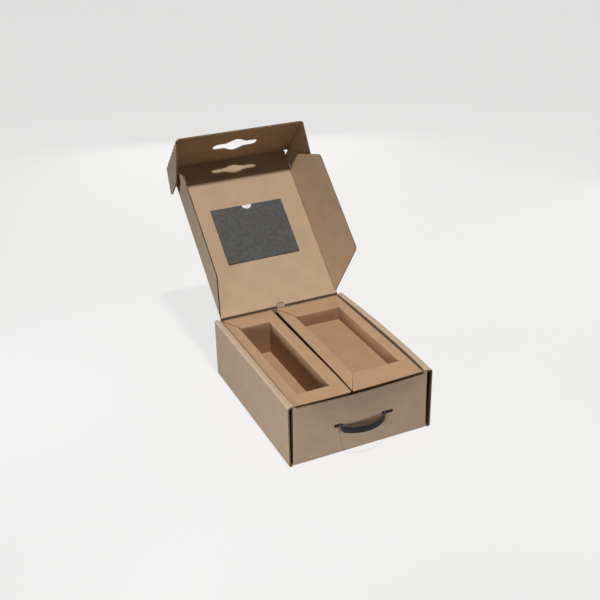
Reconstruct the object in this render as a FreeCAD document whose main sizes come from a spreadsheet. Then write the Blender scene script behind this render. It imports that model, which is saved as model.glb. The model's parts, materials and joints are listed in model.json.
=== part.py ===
import FreeCAD, Part
import Sketcher
import math
import os
import re

# Corrugated carry mailer: a die-cut tray with double side walls, a lid that leans open with its two
# side wings and its front flap with ears, two folded inserts, a strap handle and a card pocket.
# Frame: X to the right, Y to the back, Z up, origin at the middle of the tray's underside.

doc = FreeCAD.newDocument("CarryMailer")
sheet = doc.addObject("Spreadsheet::Sheet", "Sizes")

SIZES = [
    # tray
    ("width", 330),             # outside, left to right
    ("depth", 408),             # outside, front to back
    ("height", 141),            # outside, table to the rolled tops
    ("board", 3),               # corrugated board
    ("slit", 5),                # gap inside a side wall that takes the flap's ear
    ("corner_tab", 100),        # length of the tabs folded from the front and back walls
    ("roll_radius", 3),         # outer bend of a side wall's rolled top
    # creases
    ("crease_bead", 0.7),       # half the crushed thickness at a crease
    ("crease_tip", 1.6),        # from the crease axis to the fixed panel
    ("crease_edge", 0.4),       # half thickness of the fixed panel's edge there
    ("crease_taper", 5),        # distance over which the board regains its thickness
    ("crease_drop", 0.5),       # lid crease below the rolled tops
    # lid and its wings
    ("lid_lean", 47.6),         # leaning back from upright, degrees
    ("lid_play", 0.5),          # lid's edge to the side wall's inner face
    ("flap_gap", 0.5),          # closed flap to the front wall
    ("wing_inset", 1.5),        # wing crease in from the lid's edge
    ("wing_start", 12),
    ("wing_clear", 54.5),       # end of the wing's crease to the flap's crease
    ("wing_height", 120),
    ("wing_back_run", 48),      # slant of the wing's edge near the lid's crease
    ("wing_front_run", 34),     # from the end of the crease back to the top corner
    ("wing_nose", 14),          # reach of the wing's front corner past its crease
    ("wing_nose_height", 46),
    ("wing_round", 8),
    ("flare_wing_left", 7.7),
    ("flare_wing_right", 17.4),
    # front flap and its ears
    ("flap_ground", 0.3),       # closed flap's edge to the table
    ("flap_tilt", 2.5),         # toward the lid, from square
    ("ear_side_gap", 1),        # ear's outer face to the side wall's outer panel
    ("ear_start", 3),
    ("ear_reach", 76),
    ("ear_round", 10),
    ("ear_shoulder", 70),       # height at which the ear's free edge starts to slant
    ("flare_ear_left", 7.5),
    ("flare_ear_right", 18),
    # handle slots
    ("slot_level", 67.5),       # above the table
    ("wall_slot_left", -66),
    ("wall_slot_right", 74),
    ("wall_slot_half", 3.5),
    ("flap_slot_half", 54),
    ("flap_slot_arm", 8),
    ("flap_slot_bulge", 24),
    # strap handle
    ("grip_half", 52),
    ("grip_reach", 25),         # grip's outer face from the front wall
    ("grip_tall", 17),
    ("grip_thick", 2.2),
    ("neck_wide", 6),
    ("neck_half", 1.5),
    ("neck_room", 3.5),         # from a neck to the inner end of its slot
    ("hook_radius", 1.2),
    ("hook_back", 3.8),         # hook's centre behind the middle of the front wall
    ("hook_lap", 12),           # hook past the slot's end
    # inserts, set off from the tray's inner faces and from each other
    ("rim_gap", 0.3),           # below the closed lid
    ("hook_room", 0.5),         # between the handle's hooks and the bottle insert
    ("wing_room_left", 3.3),    # takes the closed wing
    ("wing_room_right", 3.5),
    ("bottle_wide", 124.5),
    ("bottle_back_gap", 8.6),
    ("bottle_rim_left", 23.3),
    ("bottle_rim_right", 28.4),
    ("bottle_rim_front", 37.4),
    ("bottle_rim_back", 43.9),
    ("bottle_well_floor", 58),
    ("middle_gap", 6.7),
    ("goods_front_gap", 1.5),   # behind the bottle insert's front
    ("goods_back_gap", 3),
    ("goods_rim_left", 29.6),
    ("goods_rim_right", 23.6),
    ("goods_rim_front", 58.2),
    ("goods_rim_back", 54.7),
    ("goods_well_floor", 105),
    # card pocket on the lid
    ("pocket_left", -90),
    ("pocket_right", 94.7),
    ("pocket_low", 128),
    ("pocket_high", 274.5),
    ("pocket_sheet", 0.8),
    ("pocket_hem", 4),
    ("card_thick", 1),
    ("card_play", 0.3),
    ("thumb_radius", 13),
    ("thumb_offset", 2.6),      # right of the lid's middle
    ("thumb_rise", 2),          # centre of the notch above the pocket's mouth
    # half-moon tab that stays with the back wall
    ("moon_radius", 10.2),
    ("moon_gap", 0.6),
    ("moon_offset", 1),
]
for row, (alias, value) in enumerate(SIZES, start=1):
    cell = "B%d" % row
    sheet.set("A%d" % row, alias)
    sheet.set(cell, str(value))
    sheet.setAlias(cell, alias)
doc.recompute()
NAMES = [alias for alias, value in SIZES]


def size(alias):
    return float(sheet.get(alias))


def linked(formula):
    """The formula with each size's name pointing at the sheet."""
    return re.sub(r"\b(%s)\b" % "|".join(NAMES), r"Sizes.\1", str(formula))


def number(formula):
    return float(sheet.evalExpression(str(formula)))


# ---- building blocks, every size bound to the sheet ----

def block(name, low, high):
    """A box between two corners given as formulas."""
    box = doc.addObject("Part::Box", name)
    for prop, axis, start, end in zip(("Length", "Width", "Height"), "xyz", low, high):
        box.setExpression(prop, linked("(%s) - (%s)" % (end, start)))
        box.setExpression("Placement.Base." + axis, linked(start))
    return box


TURNS = {
    "x": FreeCAD.Rotation(FreeCAD.Vector(0, 1, 0), 90),
    "y": FreeCAD.Rotation(FreeCAD.Vector(1, 0, 0), -90),
    "z": FreeCAD.Rotation(),
}


def rod(name, axis, radius, length, start):
    """A cylinder along +axis from a start point given as formulas."""
    cylinder = doc.addObject("Part::Cylinder", name)
    cylinder.Placement = FreeCAD.Placement(FreeCAD.Vector(), TURNS[axis])
    cylinder.setExpression("Radius", linked(radius))
    cylinder.setExpression("Height", linked(length))
    for letter, formula in zip("xyz", start):
        cylinder.setExpression("Placement.Base." + letter, linked(formula))
    return cylinder


def prism(name, corners, length, placement=FreeCAD.Placement()):
    """A closed outline in the placement's own XY plane, drawn out evenly to both sides along its Z."""
    sketch = doc.addObject("Sketcher::SketchObject", name + "_outline")
    points = [FreeCAD.Vector(number(x), number(y), 0) for x, y in corners]
    count = len(points)
    for index in range(count):
        sketch.addGeometry(Part.LineSegment(points[index], points[(index + 1) % count]), False)
    for index in range(count):
        sketch.addConstraint(Sketcher.Constraint("Coincident", index, 2, (index + 1) % count, 1))
    for index, (x, y) in enumerate(corners):
        for kind, formula in (("DistanceX", x), ("DistanceY", y)):
            place = sketch.addConstraint(Sketcher.Constraint(kind, index, 1, number(formula)))
            sketch.setExpression("Constraints[%d]" % place, linked(formula))
    sketch.Placement = placement
    solid = doc.addObject("Part::Extrusion", name)
    solid.Base = sketch
    solid.DirMode = "Normal"
    solid.Solid = True
    solid.Symmetric = True
    solid.setExpression("LengthFwd", linked(length))
    return solid


def fuse(name, pieces):
    joined = doc.addObject("Part::MultiFuse", name)
    joined.Shapes = pieces
    joined.Refine = True
    return joined


def cut(name, base, tool):
    result = doc.addObject("Part::Cut", name)
    result.Base = base
    result.Tool = tool
    result.Refine = True
    return result


def common(name, pieces):
    result = doc.addObject("Part::MultiCommon", name)
    result.Shapes = pieces
    result.Refine = True
    return result


def columns(x_axis, y_axis, z_axis, origin=FreeCAD.Vector()):
    """A placement from its three axes and its origin."""
    matrix = FreeCAD.Matrix(x_axis.x, y_axis.x, z_axis.x, origin.x,
                            x_axis.y, y_axis.y, z_axis.y, origin.y,
                            x_axis.z, y_axis.z, z_axis.z, origin.z,
                            0, 0, 0, 1)
    return FreeCAD.Placement(matrix)


X = FreeCAD.Vector(1, 0, 0)
Y = FreeCAD.Vector(0, 1, 0)
Z = FreeCAD.Vector(0, 0, 1)
SIDES = {"left": -1, "right": 1}


def crease_cutter(name, length, placement):
    """What a fixed panel loses at its crease: the board narrows to a thin edge and stops short of the axis.
    Own X points into the panel, own Y is its thickness and own Z runs along the crease."""
    corners = [("crease_taper", "board / 2"), ("crease_taper", "board"), ("-board * 2", "board"),
               ("-board * 2", "-board"), ("crease_taper", "-board"), ("crease_taper", "-board / 2"),
               ("crease_tip", "-crease_edge"), ("crease_tip", "crease_edge")]
    return prism(name, corners, length, placement)


def hinged_panel(name, corners, start, end, reach):
    """A panel that folds about its own X axis: an outline, narrowed to a round bead along the crease."""
    flat = prism(name + "_flat", corners, "board")
    edge = [("0", "-crease_bead"), ("crease_taper", "-board / 2"), (reach, "-board / 2"),
            (reach, "board / 2"), ("crease_taper", "board / 2"), ("0", "crease_bead")]
    profile = prism(name + "_profile", edge, "width * 4", columns(Y, Z, X))
    bead = rod(name + "_bead", "x", "crease_bead", "(%s) - (%s)" % (end, start), (start, "0", "0"))
    return fuse(name + "_panel", [common(name + "_sheet", [flat, profile]), bead])


# ---- tray ----

INNER_FACE = "width / 2 - board * 3 - slit"     # a side wall's inner face: three boards and the slit
WALL_HALF = "width / 2 - board - slit"          # the front and back walls stop at the slit
HINGE_LEVEL = "(height - crease_drop)"
HINGE_BACK = "depth / 2 - board / 2"
LID_HALF = "(%s - lid_play)" % INNER_FACE


def side_wall(side):
    """Outer panel, rolled top and inner panel of one side."""
    pieces = []
    spans = [("outer", "width / 2 - board", "width / 2", "0", "height"),
             ("top", INNER_FACE, "width / 2", "height - board", "height"),
             ("inner", INNER_FACE, "(%s) + board" % INNER_FACE, "0", "height")]
    for part, near, far, low, high in spans:
        ends = "depth / 2" if part != "inner" else "(depth / 2 - board)"
        if side == "left":
            near, far = "-(%s)" % far, "-(%s)" % near
        pieces.append(block("side_%s_%s" % (part, side), (near, "-" + ends, low), (far, ends, high)))
    return pieces


def corner_tabs(side):
    """The tabs of the front and back walls, folded along the inner panel."""
    near, far = "(%s) - board" % WALL_HALF, WALL_HALF
    if side == "left":
        near, far = "-(%s)" % far, "-(%s)" % near
    tabs = []
    for end, start, stop in (("front", "-depth / 2", "-depth / 2 + corner_tab"),
                             ("back", "depth / 2 - corner_tab", "depth / 2")):
        tabs.append(block("tab_%s_%s" % (end, side), (near, start, "0"), (far, stop, "height - board")))
    return tabs


def wall_slot():
    """The two short slots of the front wall with round ends, one for each neck of the handle."""
    inner_end = "(grip_half - neck_wide / 2 - neck_room)"
    runs = {"left": ("wall_slot_left", "-" + inner_end), "right": (inner_end, "wall_slot_right")}
    pieces = []
    for side, (start, end) in runs.items():
        near = start + " + wall_slot_half"
        far = end + " - wall_slot_half"
        pieces.append(block("slot_middle_" + side,
                            (near, "-depth / 2 - board", "slot_level - wall_slot_half"),
                            (far, "-depth / 2 + board * 2", "slot_level + wall_slot_half")))
        for which, place in (("near", near), ("far", far)):
            pieces.append(rod("slot_end_%s_%s" % (side, which), "y", "wall_slot_half", "board * 3",
                              (place, "-depth / 2 - board", "slot_level")))
    return fuse("slot_tool", pieces)


def base_tray():
    pieces = [block("floor", ("-width / 2", "-depth / 2", "0"), ("width / 2", "depth / 2", "board"))]
    for side in SIDES:
        pieces += side_wall(side) + corner_tabs(side)
    pieces.append(block("front_wall", ("-(%s)" % WALL_HALF, "-depth / 2", "0"),
                        (WALL_HALF, "-depth / 2 + board", "height")))
    back = block("back_blank", ("-(%s)" % WALL_HALF, "depth / 2 - board", "0"),
                 (WALL_HALF, "depth / 2", "height"))
    crease = crease_cutter("back_crease", "(%s + crease_bead) * 2" % LID_HALF,
                           columns(-Z, Y, X, FreeCAD.Vector(0, number(HINGE_BACK), number(HINGE_LEVEL))))
    pieces.append(cut("back_wall", back, crease))
    moon = common("moon_tab", [
        rod("moon_disc", "y", "moon_radius", "board", ("moon_offset", "depth / 2 - board", HINGE_LEVEL)),
        block("moon_span", ("-width / 4", "depth / 2 - board", "%s - crease_taper" % HINGE_LEVEL),
              ("width / 4", "depth / 2", "height + moon_radius * 2"))])
    pieces.append(moon)
    tray = cut("tray_slotted", fuse("tray_sheet", pieces), wall_slot())
    doc.recompute()
    rolled = doc.addObject("Part::Fillet", "tray_rolled")
    rolled.Base = tray
    edges = []
    for index, edge in enumerate(tray.Shape.Edges, start=1):
        box = edge.BoundBox
        outer = abs(abs(box.Center.x) - size("width") / 2) < 0.01 and box.XLength < 0.01
        if outer and abs(box.Center.z - size("height")) < 0.01 and box.YLength > size("depth") - 1:
            edges.append((index, size("roll_radius") - 0.01, size("roll_radius") - 0.01))
    rolled.Edges = edges
    return rolled


# ---- lid, wings, flap and ears ----

FLAP_CREASE = "(depth + flap_gap)"
FLAP_HEIGHT = "(%s - flap_ground)" % HINGE_LEVEL
WING_AXIS = "%s - wing_inset" % LID_HALF
WING_END = "%s - wing_clear" % FLAP_CREASE
EAR_AXIS = "width / 2 - board - ear_side_gap - board / 2"

lean = math.radians(size("lid_lean"))
lid_along = FreeCAD.Vector(0, math.sin(lean), math.cos(lean))
lid_inward = FreeCAD.Vector(0, -math.cos(lean), math.sin(lean))
hinge = FreeCAD.Vector(0, number(HINGE_BACK), number(HINGE_LEVEL))
lid_place = columns(X, lid_along, lid_inward, hinge)
tilt = math.radians(size("flap_tilt"))
flap_along = lid_inward * math.cos(tilt) - lid_along * math.sin(tilt)
flap_root = hinge + lid_along * number(FLAP_CREASE)
flap_place = columns(X, flap_along, X.cross(flap_along), flap_root)


def lid_panel():
    left, right = "-" + LID_HALF, LID_HALF
    corners = [(left, "0"), (right, "0"), (right, FLAP_CREASE), (left, FLAP_CREASE)]
    panel = hinged_panel("lid", corners, left, right, FLAP_CREASE)
    tools = [crease_cutter("lid_flap_crease", "width * 2",
                           columns(-Y, Z, -X, FreeCAD.Vector(0, number(FLAP_CREASE), 0)))]
    middle = number("(wing_start + %s) / 2" % WING_END)
    for side, sign in SIDES.items():
        place = FreeCAD.Vector(sign * number(WING_AXIS), middle, 0)
        tools.append(crease_cutter("lid_wing_crease_" + side, "%s - wing_start + crease_bead * 2" % WING_END,
                                   columns(X * -sign, Z, Y * sign, place)))
    tools.append(rod("moon_hole", "z", "moon_radius + moon_gap", "board * 2", ("moon_offset", "0", "-board")))
    return cut("lid_whole", panel, fuse("lid_tools", tools))


def wing(side):
    top = "wing_height"
    rise = "wing_height - wing_round"
    corners = [("wing_start", "0"), ("wing_start + wing_back_run - wing_round / 2", rise),
               ("wing_start + wing_back_run + wing_round / 2", top),
               (WING_END + " - wing_front_run - wing_round * 2", top), (WING_END + " - wing_front_run", rise),
               (WING_END + " + wing_nose", "wing_nose_height"), (WING_END, "0")]
    return hinged_panel("wing_" + side, corners, "wing_start", WING_END, top)


def ear(side):
    top = FLAP_HEIGHT + " - crease_bead"
    corners = [("ear_start", "0"), (top, "0"), ("ear_shoulder", "ear_reach"),
               ("ear_start + ear_round", "ear_reach"), ("ear_start", "ear_reach - ear_round")]
    return hinged_panel("ear_" + side, corners, "ear_start", top, "ear_reach")


def flap_slot():
    """The slot the closed handle comes through: two round-ended arms and a round middle."""
    level = "(%s - slot_level)" % HINGE_LEVEL
    pieces = [block("flap_slot_middle",
                    ("-flap_slot_half + flap_slot_arm", "%s - flap_slot_arm" % level, "-board"),
                    ("flap_slot_half - flap_slot_arm", "%s + flap_slot_arm" % level, "board")),
              rod("flap_slot_round", "z", "flap_slot_bulge", "board * 2", ("0", level, "-board"))]
    for side, sign in (("left", "-"), ("right", "")):
        pieces.append(rod("flap_slot_end_" + side, "z", "flap_slot_arm", "board * 2",
                          ("%s(flap_slot_half - flap_slot_arm)" % sign, level, "-board")))
    return fuse("flap_slot_tool", pieces)


def front_flap():
    edge, root, step = "%s + board / 2" % EAR_AXIS, LID_HALF, "ear_start - crease_bead"
    right_side = [(root, "0"), (root, step), (edge, step), (edge, FLAP_HEIGHT)]
    left_side = [("-(%s)" % across, up) for across, up in reversed(right_side)]
    panel = hinged_panel("flap", right_side + left_side, "-" + LID_HALF, LID_HALF, FLAP_HEIGHT)
    tools = [flap_slot()]
    for side, sign in SIDES.items():
        place = FreeCAD.Vector(sign * number(EAR_AXIS), number(FLAP_HEIGHT), 0)
        tools.append(crease_cutter("flap_ear_crease_" + side, FLAP_HEIGHT + " * 2",
                                   columns(X * -sign, Z, Y * sign, place)))
    return cut("flap_whole", panel, fuse("flap_tools", tools))


def wing_place(side):
    sign = SIDES[side]
    flare = math.radians(size("flare_wing_" + side))
    away = lid_inward * math.cos(flare) + X * sign * math.sin(flare)
    return columns(lid_along, away, lid_along.cross(away), hinge + X * sign * number(WING_AXIS))


def ear_place(side):
    sign = SIDES[side]
    flare = math.radians(size("flare_ear_" + side))
    square = flap_along.cross(X)
    if square.dot(lid_along) > 0:
        square = -square
    away = square * math.cos(flare) + X * sign * math.sin(flare)
    return columns(flap_along, away, flap_along.cross(away), flap_root + X * sign * number(EAR_AXIS))


# ---- strap handle ----

def carry_handle():
    """A curved grip, two necks through the slot and two hooks behind the front wall."""
    middle = "-depth / 2 + board / 2"
    sag = "grip_reach - board"
    radius = "(grip_half * grip_half + (%s) * (%s)) / ((%s) * 2)" % (sag, sag, sag)
    centre = "-depth / 2 - grip_reach + %s" % radius
    low = "slot_level + neck_half - grip_tall"
    ring = cut("grip_ring",
               rod("grip_outer", "z", radius, "grip_tall", ("0", centre, low)),
               rod("grip_inner", "z", "%s - grip_thick" % radius, "grip_tall * 3",
                   ("0", centre, "%s - grip_tall" % low)))
    front = block("grip_front", ("-grip_half", "-depth", "0"),
                  ("grip_half", "-depth / 2 - board", "height"))
    grip = common("grip_band", [ring, front])
    trims = []
    trim_end = "grip_half + neck_wide"
    for side, sign in SIDES.items():
        corners = [("grip_half - neck_wide * 2", "-grip_tall"), (trim_end, "-grip_tall"),
                   (trim_end, "-neck_half * 2"), ("grip_half - neck_wide / 2", "-neck_half * 2")]
        corner = FreeCAD.Vector(0, number("-depth / 2"), number("slot_level + neck_half"))
        place = columns(X * sign, Z, Y * -sign, corner)
        trims.append(prism("grip_trim_" + side, corners, "depth / 2", place))
    pieces = [cut("grip", grip, fuse("grip_trims", trims))]
    for side, sign, end in (("left", "-", "-(wall_slot_left)"), ("right", "", "wall_slot_right")):
        near = "grip_half - neck_wide / 2"
        length = "%s + hook_lap - (%s)" % (end, near)
        start = near if side == "right" else "wall_slot_left - hook_lap"
        pieces.append(rod("hook_" + side, "x", "hook_radius", length,
                          (start, "%s + hook_back" % middle, "slot_level")))
        inner, outer = "grip_half - neck_wide / 2", "grip_half + neck_wide / 2"
        if side == "left":
            inner, outer = "-(%s)" % outer, "-(%s)" % inner
        pieces.append(block("neck_" + side, (inner, "-depth / 2 - board * 3 / 2", "slot_level - neck_half"),
                            (outer, "%s + hook_back" % middle, "slot_level + neck_half")))
    return fuse("handle_whole", pieces)


# ---- inserts ----

RIM_LEVEL = "%s - board / 2 - rim_gap" % HINGE_LEVEL
BOTTLE_FRONT = "-depth / 2 + board / 2 + hook_back + hook_radius + hook_room"
BOTTLE_LEFT = "wing_room_left - (%s)" % INNER_FACE
BOTTLE_RIGHT = "%s + bottle_wide" % BOTTLE_LEFT


def insert(name, left, right, front, back):
    """A folded insert: a rim with four outer walls and a well hanging from its window."""
    outer = block(name + "_outer", (left, front, "board"), (right, back, RIM_LEVEL))
    under = block(name + "_under", (left + " + board", front + " + board", "0"),
                  (right + " - board", back + " - board", RIM_LEVEL + " - board"))
    shell = cut(name + "_shell", outer, under)
    rims = {"name": name, "left": left, "right": right, "front": front, "back": back}
    low = ["%(left)s + %(name)s_rim_left" % rims, "%(front)s + %(name)s_rim_front" % rims,
           "%(name)s_well_floor" % rims]
    high = ["%(right)s - %(name)s_rim_right" % rims, "%(back)s - %(name)s_rim_back" % rims]
    trough = block(name + "_trough", [edge + " - board" for edge in low],
                   [edge + " + board" for edge in high] + [RIM_LEVEL])
    window = block(name + "_window", low, high + [RIM_LEVEL + " + board"])
    return cut(name + "_whole", fuse(name + "_sheet", [shell, trough]), window)


def bottle_insert():
    return insert("bottle", BOTTLE_LEFT, BOTTLE_RIGHT, BOTTLE_FRONT, "depth / 2 - board - bottle_back_gap")


def goods_insert():
    return insert("goods", BOTTLE_RIGHT + " + middle_gap", "(%s) - wing_room_right" % INNER_FACE,
                  BOTTLE_FRONT + " - hook_room + goods_front_gap", "depth / 2 - board - goods_back_gap")


# ---- card pocket ----

def card_pocket():
    """A sheet with a thumb notch on three hems, glued to the lid's inner face."""
    face = "board / 2"
    mouth = "%s + card_thick + card_play * 2" % face
    sheet_block = block("pocket_sheet_block", ("pocket_left", "pocket_low", face),
                        ("pocket_right", "pocket_high", "%s + pocket_sheet" % mouth))
    room = block("pocket_room", ("pocket_left + pocket_hem", "pocket_low + pocket_hem", "0"),
                 ("pocket_right - pocket_hem", "pocket_high * 2", mouth))
    notch = rod("thumb_notch", "z", "thumb_radius", "board * 4",
                ("thumb_offset", "pocket_high + thumb_rise", "0"))
    return cut("pocket_whole", sheet_block, fuse("pocket_tools", [room, notch]))


CARD_CORNER = ("pocket_left + pocket_hem + card_play", "pocket_low + pocket_hem + card_play",
               "board / 2 + card_play")


def card():
    """The loose card in the pocket, drawn from its own corner."""
    sheet_box = doc.addObject("Part::Box", "card_sheet")
    sheet_box.setExpression("Length", linked("pocket_right - pocket_left - (pocket_hem + card_play) * 2"))
    sheet_box.setExpression("Width", linked("pocket_high - pocket_low - pocket_hem - card_play * 2"))
    sheet_box.setExpression("Height", linked("card_thick"))
    return sheet_box


# ---- every sub-part: its name, its object and where its own frame stands ----

home = FreeCAD.Placement()
subparts = [
    ("base_tray", base_tray(), home),
    ("lid_panel", lid_panel(), lid_place),
    ("wing_left", wing("left"), wing_place("left")),
    ("wing_right", wing("right"), wing_place("right")),
    ("front_flap", front_flap(), flap_place),
    ("ear_left", ear("left"), ear_place("left")),
    ("ear_right", ear("right"), ear_place("right")),
    ("carry_handle", carry_handle(), home),
    ("bottle_insert", bottle_insert(), home),
    ("goods_insert", goods_insert(), home),
    ("card_pocket", card_pocket(), lid_place),
    ("card", card(), lid_place.multiply(FreeCAD.Placement(FreeCAD.Vector(*map(number, CARD_CORNER)),
                                                          FreeCAD.Rotation()))),
]
for label, subpart, place in subparts:
    subpart.Label = label
    subpart.Placement = place
doc.recompute()

for thing in doc.Objects:
    if "Invalid" in thing.State or "Error" in thing.State:
        raise RuntimeError("failed: " + thing.Name)
os.makedirs("parts", exist_ok=True)
for label, subpart, place in subparts:
    shape = subpart.Shape
    if shape.isNull() or not shape.isValid() or len(shape.Solids) != 1:
        raise RuntimeError("no single sound solid: " + label)
    shape.exportStep("parts/%s.step" % label)
    print(label, "volume %.0f" % shape.Volume)
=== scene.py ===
import json
import math

import bmesh
import bpy
from mathutils import Matrix, Vector
from mathutils.geometry import tessellate_polygon

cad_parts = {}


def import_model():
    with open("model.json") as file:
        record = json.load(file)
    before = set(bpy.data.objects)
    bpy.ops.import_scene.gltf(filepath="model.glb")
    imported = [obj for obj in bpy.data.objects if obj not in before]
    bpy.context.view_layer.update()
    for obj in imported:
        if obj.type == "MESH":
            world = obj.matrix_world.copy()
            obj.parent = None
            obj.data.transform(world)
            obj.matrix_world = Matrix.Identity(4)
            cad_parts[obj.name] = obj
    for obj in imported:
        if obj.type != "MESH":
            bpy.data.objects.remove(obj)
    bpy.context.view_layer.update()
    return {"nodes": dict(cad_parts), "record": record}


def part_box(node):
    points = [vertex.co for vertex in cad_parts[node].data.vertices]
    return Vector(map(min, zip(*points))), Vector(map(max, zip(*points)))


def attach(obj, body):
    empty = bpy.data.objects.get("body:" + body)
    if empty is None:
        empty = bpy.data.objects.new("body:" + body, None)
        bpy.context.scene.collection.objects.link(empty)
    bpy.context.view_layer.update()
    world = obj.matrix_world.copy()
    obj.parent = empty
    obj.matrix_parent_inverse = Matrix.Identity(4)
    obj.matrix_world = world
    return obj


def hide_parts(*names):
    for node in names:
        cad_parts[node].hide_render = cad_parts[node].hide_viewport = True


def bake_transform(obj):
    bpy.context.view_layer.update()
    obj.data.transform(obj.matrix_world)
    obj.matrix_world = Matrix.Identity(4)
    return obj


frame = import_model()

# Lengths are in millimetres until a mesh is placed, angles in degrees.
MM = 0.001
X, Y, Z = Vector((1, 0, 0)), Vector((0, 1, 0)), Vector((0, 0, 1))
SIDES = {"left": -1, "right": 1}

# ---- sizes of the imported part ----

WIDTH, DEPTH, HEIGHT, BOARD, SLIT = 330, 408, 141, 3, 5
HALF_WIDTH, HALF_DEPTH, HALF_BOARD = WIDTH / 2, DEPTH / 2, BOARD / 2
INNER_FACE = HALF_WIDTH - BOARD * 3 - SLIT
WALL_HALF = HALF_WIDTH - BOARD - SLIT
TAB_LENGTH = 100
LID_HALF = INNER_FACE - 0.5
FLAP_CREASE = DEPTH + 0.5
WING_AXIS = LID_HALF - 1.5
WING_START, WING_END = 8, FLAP_CREASE - 54.5
WING_HEIGHT, WING_TIP = 120, 60
EAR_AXIS = HALF_WIDTH - BOARD - 1 - HALF_BOARD
EAR_START, EAR_REACH, EAR_SHOULDER = 3, 76, 70
FLARES = {"wing_left": 7.7, "wing_right": 17.4, "ear_left": 7.5, "ear_right": 18}
HINGE = Vector((0, HALF_DEPTH - HALF_BOARD, HEIGHT - 0.5))
FLAP_HEIGHT = HINGE.z - 0.3
SLOT_LEVEL = 67.5
MOON_OFFSET, MOON_RADIUS, MOON_GAP, MOON_STEPS = 1, 10.2, 0.6, 12

# ---- directions of the open lid ----

LEAN, TILT = math.radians(47.6), math.radians(2.5)
LID_ALONG = Vector((0, math.sin(LEAN), math.cos(LEAN)))
LID_INWARD = Vector((0, -math.cos(LEAN), math.sin(LEAN)))
FLAP_ALONG = LID_INWARD * math.cos(TILT) - LID_ALONG * math.sin(TILT)
FLAP_ROOT = HINGE + LID_ALONG * FLAP_CREASE
FLAP_BACK = X.cross(FLAP_ALONG)

# ---- paper ----

LINER = 0.45
MEDIUM = 0.3
PITCH = 6.5                         # from one wave of the paper between the liners to the next
FLUTE_STEPS = 6
AMPLITUDE = (BOARD - LINER * 2 - MEDIUM) / 2
EDGE_SPARE = 0.2                    # the waves end just inside the board's edges
ROUND_STEPS = 6
# material places of a board: its liners, cut paper, painted shade in grooves, gaps, slots and slits, and worn
# paper with a painted highlight by a fold
OUTER, INNER, CUT, PAINTED_SHADE, WORN_AND_HIGHLIT = range(5)


def axes(u, v, w, origin=Vector()):
    """The matrix that takes a piece's own axes to those of the box."""
    matrix = Matrix((u, v, w)).transposed().to_4x4()
    matrix.translation = origin
    return matrix


def away_from(base, side, flare):
    angle = math.radians(flare)
    return base * math.cos(angle) + X * SIDES[side] * math.sin(angle)


def limited(value):
    return min(1.0, max(0.0, value))


# ---- mesh building ----

def new_mesh():
    mesh = bmesh.new()
    return mesh, mesh.loops.layers.uv.new("sheet")


def add_face(mesh, sheet, corners, slot):
    """A face through corners that are pairs of a vertex and its place on the sheet."""
    face = mesh.faces.new([vert for vert, _ in corners])
    face.material_index = slot
    for loop, (_, place) in zip(face.loops, corners):
        loop[sheet].uv = (place[0] * MM, place[1] * MM)


def area(loop):
    return sum(a[0] * b[1] - b[0] * a[1] for a, b in zip(loop, loop[1:] + loop[:1])) / 2


def turned(loop, sign):
    """The loop, anticlockwise for +1 and clockwise for -1."""
    return list(loop) if area(loop) * sign > 0 else list(reversed(loop))


def rounded(points, radii, closed=True):
    """Points with their corners rounded by arcs."""
    result = []
    count = len(points)
    for i, (point, radius) in enumerate(zip(points, radii)):
        if radius <= 0 or (not closed and i in (0, count - 1)):
            result.append(tuple(point))
            continue
        here = Vector(point)
        before = Vector(points[i - 1]) - here
        after = Vector(points[(i + 1) % count]) - here
        half = before.angle(after) / 2
        start = here + before.normalized() * (radius / math.tan(half))
        inward = (before.normalized() + after.normalized()).normalized()
        centre = here + inward * (radius / math.sin(half))
        sweep = math.pi - half * 2
        if before.x * after.y - before.y * after.x >= 0:
            sweep = -sweep
        spoke = start - centre
        for step in range(ROUND_STEPS + 1):
            angle = sweep * step / ROUND_STEPS
            cos, sin = math.cos(angle), math.sin(angle)
            result.append((centre.x + spoke.x * cos - spoke.y * sin,
                           centre.y + spoke.x * sin + spoke.y * cos))
    return result


def slab(mesh, sheet, outline, holes, low, high, slots):
    """A flat sheet of paper between two levels. Its slots are those of the low face, high face and edges."""
    loops = [turned(outline, 1)] + [turned(hole, -1) for hole in holes]
    rings = []
    for level in (low, high):
        rings.append([[(mesh.verts.new((u, v, level)), (u, v)) for u, v in loop] for loop in loops])
    if holes:
        flat = [point for loop in loops for point in loop]
        triangles = tessellate_polygon([[Vector((u, v, 0)) for u, v in loop] for loop in loops])
        faces = []
        for triangle in triangles:
            points = [flat[i] for i in triangle]
            faces.append(triangle if area(points) > 0 else tuple(reversed(triangle)))
    else:
        faces = [tuple(range(len(loops[0])))]
    for ring, slot, step in zip(rings, slots, (-1, 1)):
        corners = [corner for loop in ring for corner in loop]
        for face in faces:
            add_face(mesh, sheet, [corners[i] for i in face[::step]], slot)
    for bottom, top in zip(*rings):
        for i in range(len(bottom)):
            j = (i + 1) % len(bottom)
            add_face(mesh, sheet, (bottom[i], bottom[j], top[j], top[i]), slots[2])


def spans(loops, level):
    """The stretches of a line across the sheet that are inside its outline and outside its holes."""
    hits = []
    for loop in loops:
        for (u0, v0), (u1, v1) in zip(loop, loop[1:] + loop[:1]):
            if (v0 <= level) != (v1 <= level):
                hits.append(u0 + (level - v0) * (u1 - u0) / (v1 - v0))
    hits.sort()
    return list(zip(hits[::2], hits[1::2]))


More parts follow.
